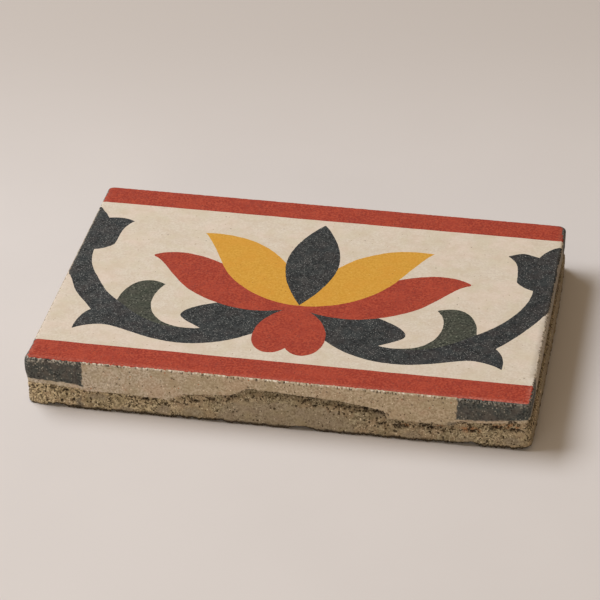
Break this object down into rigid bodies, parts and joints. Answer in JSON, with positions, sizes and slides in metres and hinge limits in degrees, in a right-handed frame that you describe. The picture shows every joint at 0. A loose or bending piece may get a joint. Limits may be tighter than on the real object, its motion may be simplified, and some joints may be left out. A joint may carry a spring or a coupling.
{
  "type": "patterned border tile",
  "caption": "Rectangular inlaid cement border tile with a lotus palmette and scrolling stems between two red stripes, for a floor border.",
  "frame": {"origin": "middle of the bed, the flat underside that the tile rests on", "axes": "+X along the border, +Y to the back stripe that the palmette points to, +Z out of the patterned face"},
  "size_m": [0.175, 0.125, 0.018],
  "materials": {
    "cement": "matte"
  },
  "bodies": {
    "root": {"border_tile": "cement"}
  },
  "joints": []
}
